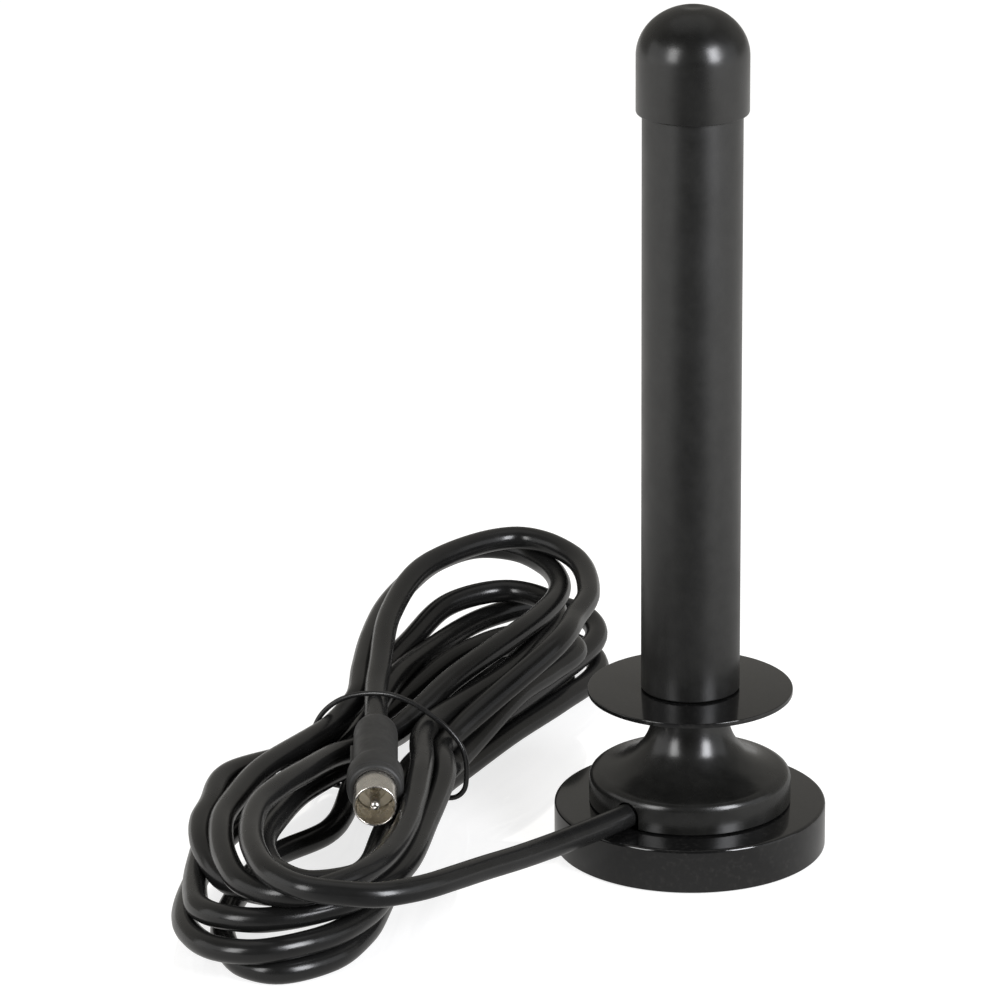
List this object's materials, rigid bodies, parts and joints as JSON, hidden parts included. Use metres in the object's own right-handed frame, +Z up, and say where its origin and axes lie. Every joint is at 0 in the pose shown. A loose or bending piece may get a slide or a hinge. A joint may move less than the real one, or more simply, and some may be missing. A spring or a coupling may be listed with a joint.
{
  "type": "indoor television antenna",
  "caption": "Indoor monopole television antenna: capped mast on a ground disc, flared pedestal and magnetic base, with a tied hank of coaxial cable ending in a coaxial plug.",
  "frame": {"origin": "centre of the round base on the surface it stands on", "axes": "+Z up along the mast's axis; the cable leaves towards -X -Y and its hank lies on the -X side, long way roughly along +Y"},
  "size_m": [0.1445, 0.2145, 0.1909],
  "materials": {
    "foot_rubber": "matt black rubber sheet",
    "base_gloss": "smooth black lacquered cup with a soft mirror gloss",
    "magnet": "dark grey sintered ferrite",
    "steel": "zinc-plated steel",
    "pedestal_plastic": "black moulded plastic, satin gloss",
    "brass": "turned brass",
    "copper": "bare copper wire",
    "nylon": "natural white nylon",
    "foam": "pale closed-cell foam",
    "disc_gloss": "thin pressed disc in glossy black paint",
    "mast_satin": "satin black with a very fine grain",
    "cap_satin": "satin black moulded cap",
    "cord_pvc": "black PVC cable jacket, satin gloss",
    "tie_plastic": "glossy black plastic-coated wire",
    "plug_rubber": "matt black soft moulding",
    "nickel": "warm bright nickel plating",
    "plug_plastic": "pale insulating plastic"
  },
  "bodies": {
    "base": {"foot_pad": "foot_rubber", "base_cup": "base_gloss", "ring_magnet": "magnet", "yoke_plate": "steel", "base_screw_1": "steel", "base_screw_2": "steel", "base_screw_3": "steel", "pedestal": "pedestal_plastic", "earth_lug": "brass", "earth_braid": "copper", "coax_inner": "cord_pvc", "strain_tie": "nylon", "feed_wire": "copper", "solder_lug": "brass", "lock_washer": "steel", "stud_nut": "brass", "mast_stud": "brass", "cable_lead": "cord_pvc", "cable_hank": "cord_pvc", "cable_tie": "tie_plastic", "plug_grip": "plug_rubber", "plug_shell": "nickel", "plug_insulator": "plug_plastic", "plug_pin": "nickel"},
    "disc": {"ground_disc": "disc_gloss"},
    "mast": {"retaining_ring": "steel", "mast_socket": "brass", "mast_tube": "mast_satin", "dome_cap": "cap_satin", "lower_rod": "brass", "upper_rod": "brass", "coil_former": "nylon", "loading_coil": "copper", "lower_spacer": "foam", "upper_spacer": "foam"}
  },
  "joints": [
    {"name": "mast_lift", "type": "slide", "parent": "base", "child": "disc", "axis": [0, 0, 1], "range_m": [0, 0.007]},
    {"name": "mast_unscrew", "type": "hinge", "parent": "disc", "child": "mast", "pos_m": [0, 0, 0.0371], "axis": [0, 0, 1], "range_deg": [0, 2526]}
  ],
  "couplings": [
    {"joint": "mast_unscrew", "follows": "mast_lift", "rad_per_m": 6283.2}
  ]
}
